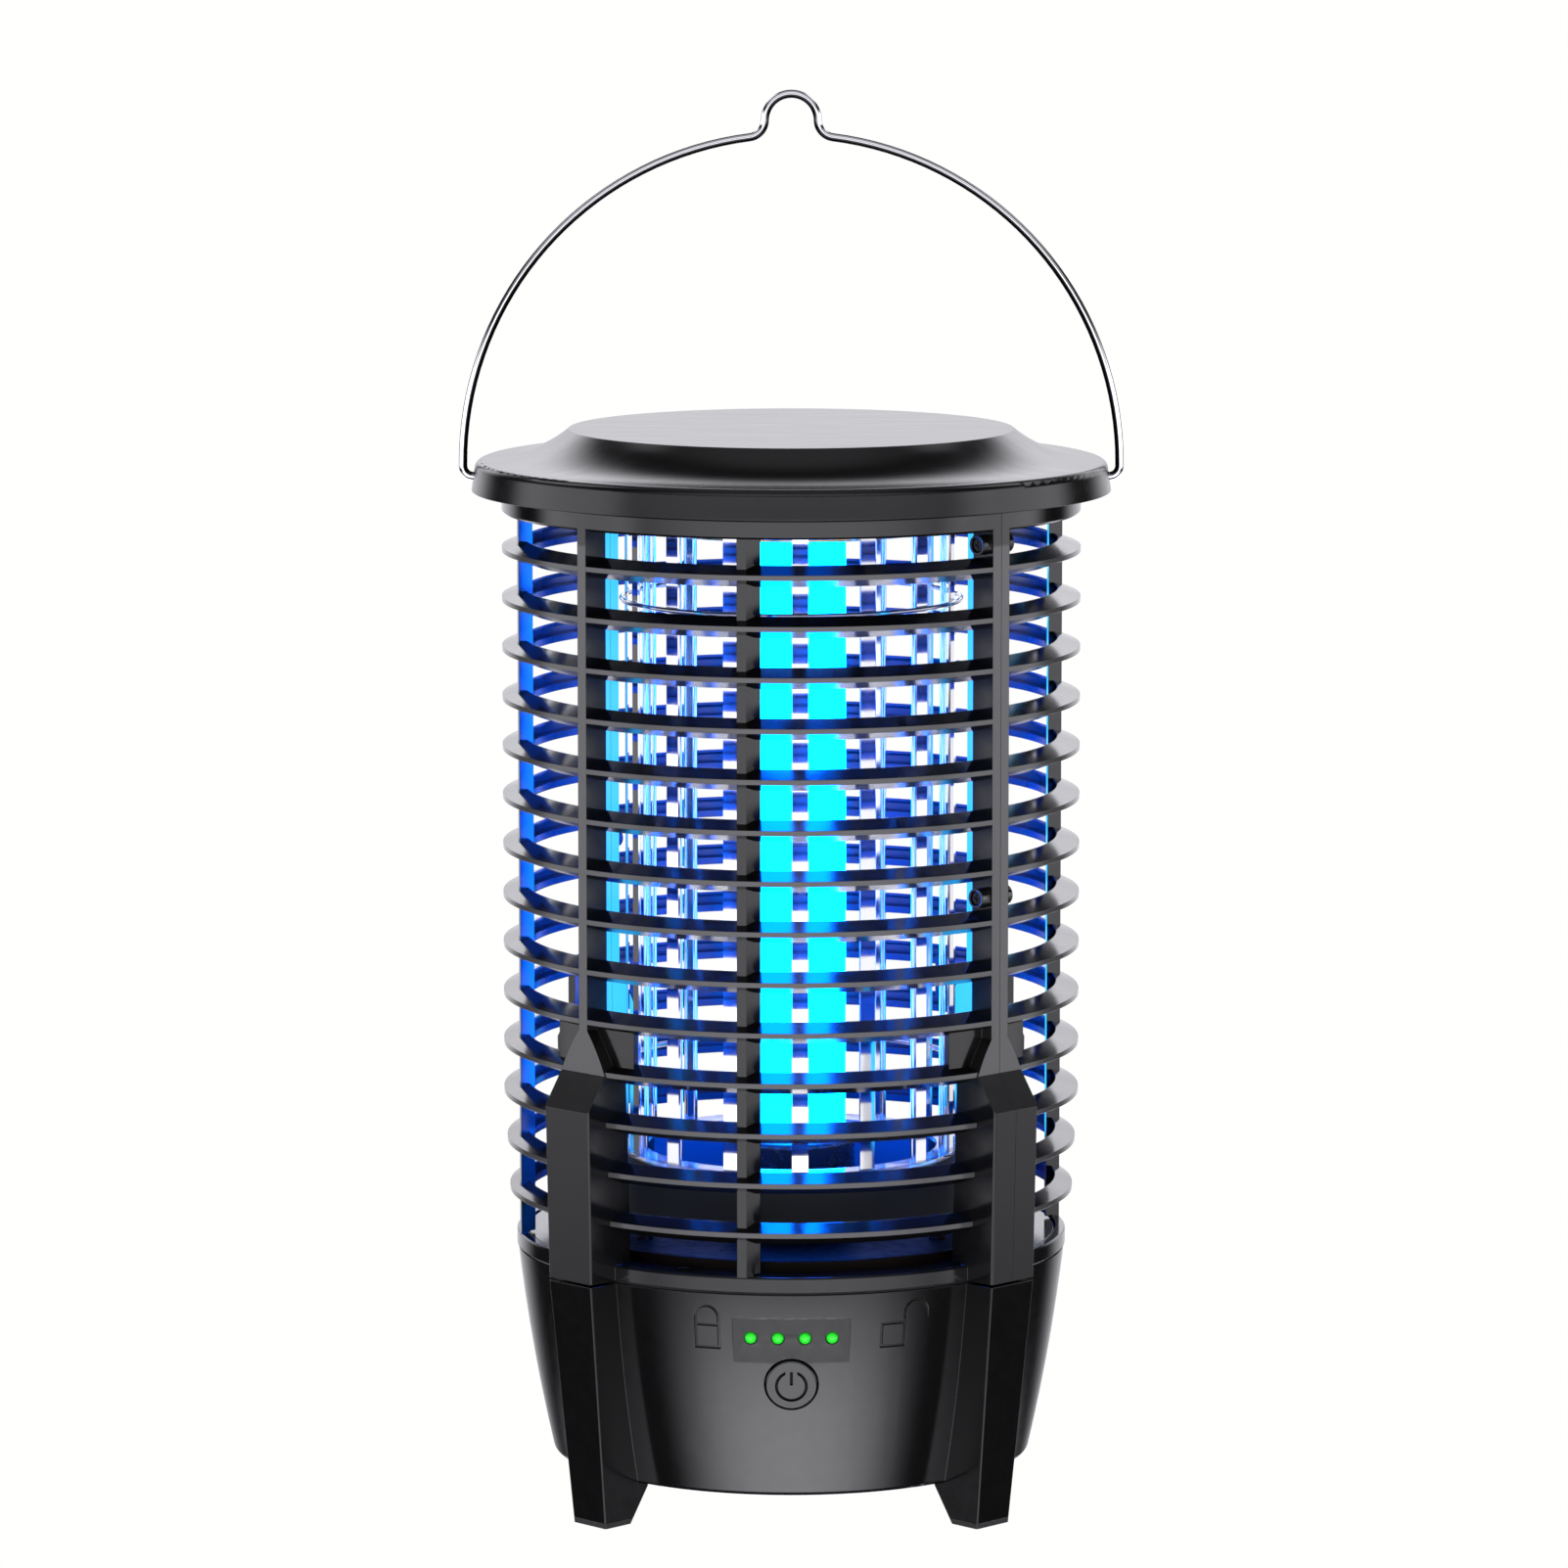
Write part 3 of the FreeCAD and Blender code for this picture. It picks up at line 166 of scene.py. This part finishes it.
def painted_cage_light(tree, shader, tone):
    """Cage plastic with painted light: faces towards the lamp are painted with its blue light, the
    backs of the recessed ribs get an emission that paints the lamp's light on them, and outer edges
    are painted paler as a highlight. It uses the facing from place(), so it holds only at rest."""
    x, y, z, radius, facing = tree.place()
    # painted lamp light: faces that look towards the lamp are coloured with its blue light
    inward = tree.ramp(facing, *INWARD_FACING)
    # painted highlight: outer edges of the louvres and ribs are made paler
    edge_highlight = tree.product(tree.ramp(radius, *EDGE_FROM_R), tree.ramp(facing, *EDGE_FACING),
                        tree.ramp(z, *EDGE_FROM_Z), tree.ramp(z, *EDGE_TO_Z),
                        tree.ramp(radius, *EDGE_TO_R))
    tone = tree.mix_color(inward, tone, PAINTED_LAMP_LIGHT)
    tone = tree.mix_color(edge_highlight, tone, PAINTED_EDGE_HIGHLIGHT)
    tree.link(tone, shader.inputs["Base Color"])
    finish = shader.inputs["Roughness"].links[0].from_socket
    matt = tree.ramp(radius, *GRID_SKIRT_R, 0.0, SKIRT_ROUGH)
    tree.link(tree.math("MAXIMUM", finish, matt), shader.inputs["Roughness"])
    # painted lamp light: emission on the backs of the recessed ribs stands in for the lamp's light
    # on them
    rib_light = tree.product(tree.ramp(facing, *RIB_BACK_FACING), tree.ramp(radius, *RIB_BACK_R),
                       tree.ramp(z, *RIB_FROM_Z), tree.ramp(z, *RIB_TO_Z), PAINTED_RIB_LIGHT)
    shader.inputs["Emission Color"].default_value = PAINTED_RIB_LIGHT_COLOR
    tree.link(rib_light, shader.inputs["Emission Strength"])


def painted_wire_shade(tree, shader, tone):
    """Handle wire, with painted shade: the sides towards and away from the bow's centre are painted
    dark, the front and back keep the bright chrome. The normal is in world space, so the sides are
    right only while the handle is at rest."""
    split = tree.add("ShaderNodeSeparateXYZ")
    tree.link(tree.add("ShaderNodeTexCoord").outputs["Object"], split.inputs["Vector"])
    normal = tree.add("ShaderNodeSeparateXYZ")
    tree.link(tree.add("ShaderNodeNewGeometry").outputs["Normal"], normal.inputs["Vector"])
    x = split.outputs["X"]
    z = tree.math("SUBTRACT", split.outputs["Z"], BAIL_CENTRE_Z)
    length = tree.math("SQRT", tree.math("ADD", tree.product(x, x), tree.product(z, z)))
    along = tree.math("ADD", tree.product(x, normal.outputs["X"]),
                      tree.product(z, normal.outputs["Z"]))
    outward = tree.math("DIVIDE", along, length)
    bright = tree.product(tree.ramp(outward, *WIRE_FROM), tree.ramp(outward, *WIRE_TO))
    tone = tree.mix_color(bright, PAINTED_WIRE_SHADE, tone)
    tree.link(tone, shader.inputs["Base Color"])


def lamp_rim(tree, shader, tone):
    """Lamps: bright middle, darker green rim."""
    x, y, z, radius, facing = tree.place()
    column = tree.math("SUBTRACT", tree.math("FRACT", tree.math("DIVIDE", x, LED_PITCH)), 0.5)
    across = tree.product(column, LED_PITCH)
    upright = tree.math("SUBTRACT", z, LED_Z)
    off = tree.math("SQRT", tree.math("ADD", tree.product(across, across),
                                      tree.product(upright, upright)))
    tree.link(tree.ramp(off, *LED_RIM_R, *LED_RIM_GLOW), shader.inputs["Emission Strength"])


def painted_stroke_shade(tree, shader, tone):
    """Button: the strokes cut into its face are painted dark as shade: their floors are made black
    metal, which reflects nothing, as deep narrow grooves look dark.
    """
    x, y, z, radius, facing = tree.place()
    tilt = math.radians(PANEL_TILT_DEG)
    out_y = tree.product(tree.math("SUBTRACT", y, BUTTON_Y), -math.cos(tilt))
    out_z = tree.product(tree.math("SUBTRACT", z, BUTTON_Z), -math.sin(tilt))
    height = tree.math("ADD", out_y, out_z)
    # painted shade: metallic with the black base colour takes all reflection out of the stroke
    # floors
    tree.link(tree.ramp(height, *STROKE_HEIGHT), shader.inputs["Metallic"])


# ---- materials ----------------------------------------------------------------------------
# Places on the object, in metres. A pair is where a change of look starts and ends.
BAIL_CENTRE_Z = 0.2438
# The outer edges of the louvres get a painted highlight.
EDGE_FROM_R, EDGE_TO_R = (0.06655, 0.0667), (0.0702, 0.0700)      # outer edges of the louvres
EDGE_FROM_Z, EDGE_TO_Z = (0.0685, 0.0700), (0.2300, 0.2290)
# The backs of the recessed ribs get painted lamp light as an emission.
RIB_BACK_R = (0.0620, 0.0617)                                     # backs of the recessed ribs
RIB_FROM_Z, RIB_TO_Z = (0.0800, 0.0860), (0.2340, 0.2320)
GRID_SKIRT_R = (0.0430, 0.0415)                                   # plastic inside this is matt
LED_PITCH = 0.00625
LED_Z = 0.0479
LED_RIM_R = (0.00095, 0.0014)
BUTTON_Y = -0.06183                                               # the panel's surface at the button
BUTTON_Z = 0.0368
STROKE_HEIGHT = (0.00035, 0.00015)                                # floor of the button's strokes
PANEL_TILT_DEG = 8.6

# Facings, from -1 towards the centre to 1 away from it. A pair is as above.
INWARD_FACING = (0.05, -0.55)
EDGE_FACING = (0.90, 0.97)
RIB_BACK_FACING = (-0.90, -0.97)
WIRE_FROM, WIRE_TO = (-0.12, 0.12), (0.92, 0.70)

# Looks
SKIRT_ROUGH = 0.75
LED_RIM_GLOW = (0.62, 0.10)
# Painted shade on the handle wire's sides
PAINTED_WIRE_SHADE = (0.02, 0.02, 0.022)
# Painted lamp light: the blue given to cage faces turned towards the lamp
PAINTED_LAMP_LIGHT = (0.002, 0.042, 0.078)
# Painted highlight: the paler tone of the outer edges
PAINTED_EDGE_HIGHLIGHT = (0.074, 0.073, 0.075)
# Painted lamp light: emission strength and colour on the backs of the recessed ribs
PAINTED_RIB_LIGHT = 1.0
PAINTED_RIB_LIGHT_COLOR = (0.05, 0.62, 1.0, 1.0)
BLACK = (0.0042, 0.0042, 0.0045)
looks = {
    "black_plastic": surface("black_plastic", BLACK, 0.14, round_mm=0.22, rough_swing=0.02,
                             extra=painted_cage_light),
    "lid_plastic": surface("lid_plastic", BLACK, 0.20, round_mm=0.3, streak=(9, 1, 1),
                           grain_mm=0.5, grain_depth=0.0015, rough_swing=0.015),
    "tray_plastic": surface("tray_plastic", (0.0040, 0.0012, 0.0006), 0.5, shine=0.08),
    "socket_plastic": surface("socket_plastic", (0.02, 0.02, 0.022), 0.25),
    "post_plastic": surface("post_plastic", (0.015, 0.015, 0.018), 0.25),
    "button_plastic": surface("button_plastic", BLACK, 0.18, rough_swing=0.02, extra=painted_stroke_shade),
    "black_rubber": surface("black_rubber", (0.016, 0.016, 0.016), 0.7, grain_depth=0.02),
    "polished_steel": surface("polished_steel", (0.78, 0.78, 0.80), 0.07, metallic=1.0,
                              grain_mm=0.3, grain_depth=0.0006, streak=(1, 1, 12),
                              rough_swing=0.02, tint=0.03),
    "chrome_wire": surface("chrome_wire", (0.86, 0.86, 0.88), 0.10, metallic=1.0,
                           grain_depth=0.0006, rough_swing=0.03, tint=0.03, extra=painted_wire_shade),
    "dark_wire": surface("dark_wire", (0.60, 0.60, 0.62), 0.12, metallic=1.0,
                         grain_depth=0.0006, rough_swing=0.03, tint=0.05),
    "screw_steel": surface("screw_steel", (0.62, 0.62, 0.64), 0.26, metallic=1.0,
                           grain_depth=0.002),
    "screw_black": surface("screw_black", (0.02, 0.02, 0.022), 0.32, metallic=0.4,
                           grain_depth=0.003),
    "contact_nickel": surface("contact_nickel", (0.66, 0.63, 0.58), 0.22, metallic=1.0,
                              grain_depth=0.002),
    "brass": surface("brass", (0.80, 0.58, 0.27), 0.24, metallic=1.0, grain_depth=0.002),
    "clear_plastic": surface("clear_plastic", (0.95, 0.93, 0.95), 0.06, clear=0.9, ior=1.49,
                             grain_depth=0.001, tint=0.02),
    "lamp_glow": surface("lamp_glow", (0.01, 0.02, 0.03), 0.3, ior=1.02, glow=TUBE_COLOR,
                         glow_strength=TUBE_RADIANCE),
    "board_white": surface("board_white", (0.75, 0.76, 0.74), 0.4),
    "board_green": surface("board_green", (0.02, 0.16, 0.06), 0.35),
    "component_black": surface("component_black", (0.03, 0.03, 0.03), 0.45),
    "capacitor_film": surface("capacitor_film", (0.45, 0.09, 0.03), 0.3),
    "uv_chip": surface("uv_chip", (0.7, 0.62, 0.25), 0.3),
    "cell_wrap": surface("cell_wrap", (0.05, 0.12, 0.35), 0.3),
    "led_green": surface("led_green", (0.02, 0.45, 0.03), 0.25, glow=LED_COLOR,
                         glow_strength=0.9, extra=lamp_rim),
    "lead_insulation": surface("lead_insulation", (0.42, 0.02, 0.02), 0.4),
}
for part in frame["record"]["subparts"]:
    shown = nodes[part["node"]]
    shown.data.materials.clear()
    shown.data.materials.append(looks[part["material_slot"]])


# ---- floor, world, camera -----------------------------------------------------------------
def make_floor():
    half = FLOOR_HALF
    mesh = bpy.data.meshes.new("floor")
    mesh.from_pydata([(-half, -half, 0), (half, -half, 0), (half, half, 0), (-half, half, 0)],
                     [], [(0, 1, 2, 3)])
    floor = bpy.data.objects.new("floor", mesh)
    bpy.context.scene.collection.objects.link(floor)
    material = bpy.data.materials.new("floor_white")
    material.use_nodes = True
    tree = Tree(material.node_tree)
    output = tree.add("ShaderNodeOutputMaterial")
    glow = tree.add("ShaderNodeEmission")
    glow.inputs["Color"].default_value = WHITE
    glow.inputs["Strength"].default_value = 1.0
    tree.link(glow.outputs["Emission"], output.inputs["Surface"])
    mesh.materials.append(material)
    floor.visible_diffuse = False
    floor.visible_glossy = False
    floor.visible_shadow = False
    floor.visible_transmission = True


def make_world():
    """White behind the object; softboxes round it are only seen in reflections."""
    world = bpy.data.worlds.new("studio")
    bpy.context.scene.world = world
    world.use_nodes = True
    tree = Tree(world.node_tree)
    output = tree.add("ShaderNodeOutputWorld")
    direction = tree.add("ShaderNodeTexCoord").outputs["Generated"]
    split = tree.add("ShaderNodeSeparateXYZ")
    tree.link(direction, split.inputs["Vector"])
    x, y, z = split.outputs["X"], split.outputs["Y"], split.outputs["Z"]
    side = tree.math("ABSOLUTE", x)
    back = tree.product(tree.ramp(y, 0.70, 0.90), tree.ramp(z, -0.35, -0.15),
                        tree.ramp(z, 0.72, 0.34), tree.ramp(z, 0.06, 0.34, 1.10, 2.1))
    sides = tree.product(tree.ramp(side, 0.84, 0.96), tree.ramp(z, -0.30, -0.12),
                         tree.ramp(z, 0.35, 0.15), 1.8)
    front = tree.product(tree.ramp(y, -0.05, -1.0), tree.ramp(z, -0.34, -0.20),
                         tree.ramp(z, 0.25, 0.05), 2.2)
    low_front = tree.product(tree.ramp(y, -0.35, -0.88), tree.ramp(z, -0.28, -0.62),
                             tree.ramp(z, -0.85, -0.65), 5.6)
    low_back = tree.product(tree.ramp(y, 0.25, 0.80), tree.ramp(z, -0.32, -0.50),
                            tree.ramp(z, -0.90, -0.70), 3.5)
    overhead = tree.ramp(z, 0.78, 0.98, 0.0, 0.35)
    glance = tree.product(tree.ramp(y, -0.30, -0.75), tree.ramp(z, 0.28, 0.45),
                          tree.ramp(z, 0.95, 0.75), 1.0)
    high_x = tree.math("SUBTRACT", side, 0.62)
    high_y = tree.math("SUBTRACT", y, 0.36)
    high_z = tree.math("SUBTRACT", z, 0.69)
    apart = tree.total([tree.product(high_x, high_x), tree.product(high_y, high_y),
                        tree.product(high_z, high_z)])
    high = tree.product(tree.ramp(apart, 0.09, 0.02), 1.7)
    studio = tree.total([back, sides, front, low_front, low_back, glance, high, overhead,
                         0.015])
    ray = tree.add("ShaderNodeLightPath")
    seen = tree.math("MAXIMUM", ray.outputs["Is Camera Ray"], ray.outputs["Is Transmission Ray"])
    lamp = tree.add("ShaderNodeBackground")
    lamp.inputs["Color"].default_value = (0.95, 0.95, 1.0, 1.0)
    tree.link(studio, lamp.inputs["Strength"])
    backdrop = tree.add("ShaderNodeBackground")
    backdrop.inputs["Color"].default_value = WHITE
    backdrop.inputs["Strength"].default_value = 1.0
    mix = tree.add("ShaderNodeMixShader")
    tree.link(seen, mix.inputs["Fac"])
    tree.link(lamp.outputs["Background"], mix.inputs[1])
    tree.link(backdrop.outputs["Background"], mix.inputs[2])
    tree.link(mix.outputs["Shader"], output.inputs["Surface"])


def make_camera():
    data = bpy.data.cameras.new("camera")
    data.lens = CAMERA_LENS
    data.sensor_width = 36.0
    data.clip_start = 0.1
    data.clip_end = 60.0
    camera = bpy.data.objects.new("camera", data)
    camera.location = CAMERA_AT
    camera.rotation_euler = (math.radians(90 - CAMERA_TILT_DEG), 0, 0)
    bpy.context.scene.collection.objects.link(camera)
    bpy.context.scene.camera = camera


make_floor()
make_world()
make_camera()
bpy.context.scene.view_settings.view_transform = "Standard"
